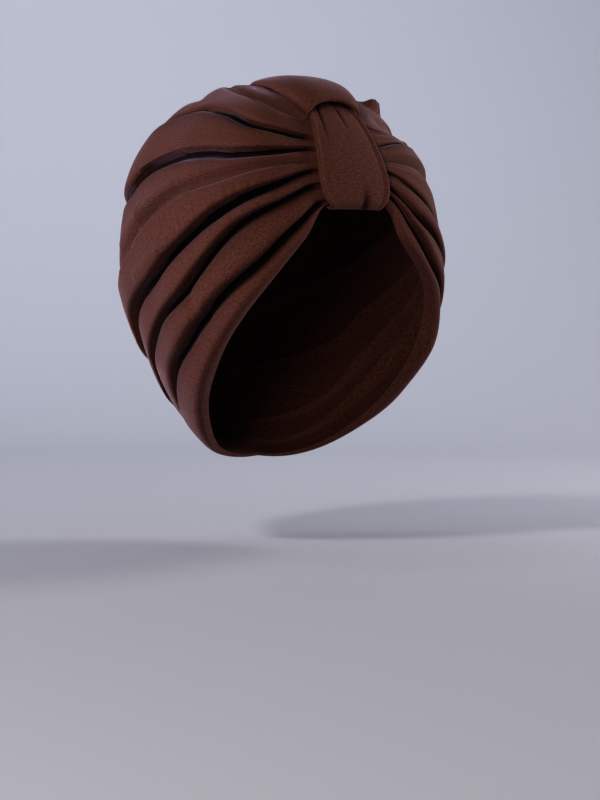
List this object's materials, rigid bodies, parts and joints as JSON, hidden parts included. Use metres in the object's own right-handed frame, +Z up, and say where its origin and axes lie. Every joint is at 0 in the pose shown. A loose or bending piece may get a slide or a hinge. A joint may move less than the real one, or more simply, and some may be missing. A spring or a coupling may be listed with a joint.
{
  "type": "turban headwrap",
  "caption": "Pleated jersey turban headwrap: side drapes gathered under a front band, narrow crown panel with a folded lip, hollow for the head, open at the face and nape.",
  "frame": {"origin": "top of the hollow for the head, on the middle plane, where the crown of the head meets the wrap", "axes": "+Z up out of the crown, -Y towards the face, +X towards the wearer's left"},
  "size_m": [0.1761, 0.2025, 0.2217],
  "materials": {
    "jersey": "soft matt rib jersey with a faint sheen"
  },
  "bodies": {
    "root": {"right_drape": "jersey", "left_drape": "jersey", "crown_panel": "jersey", "front_band": "jersey"}
  },
  "joints": []
}
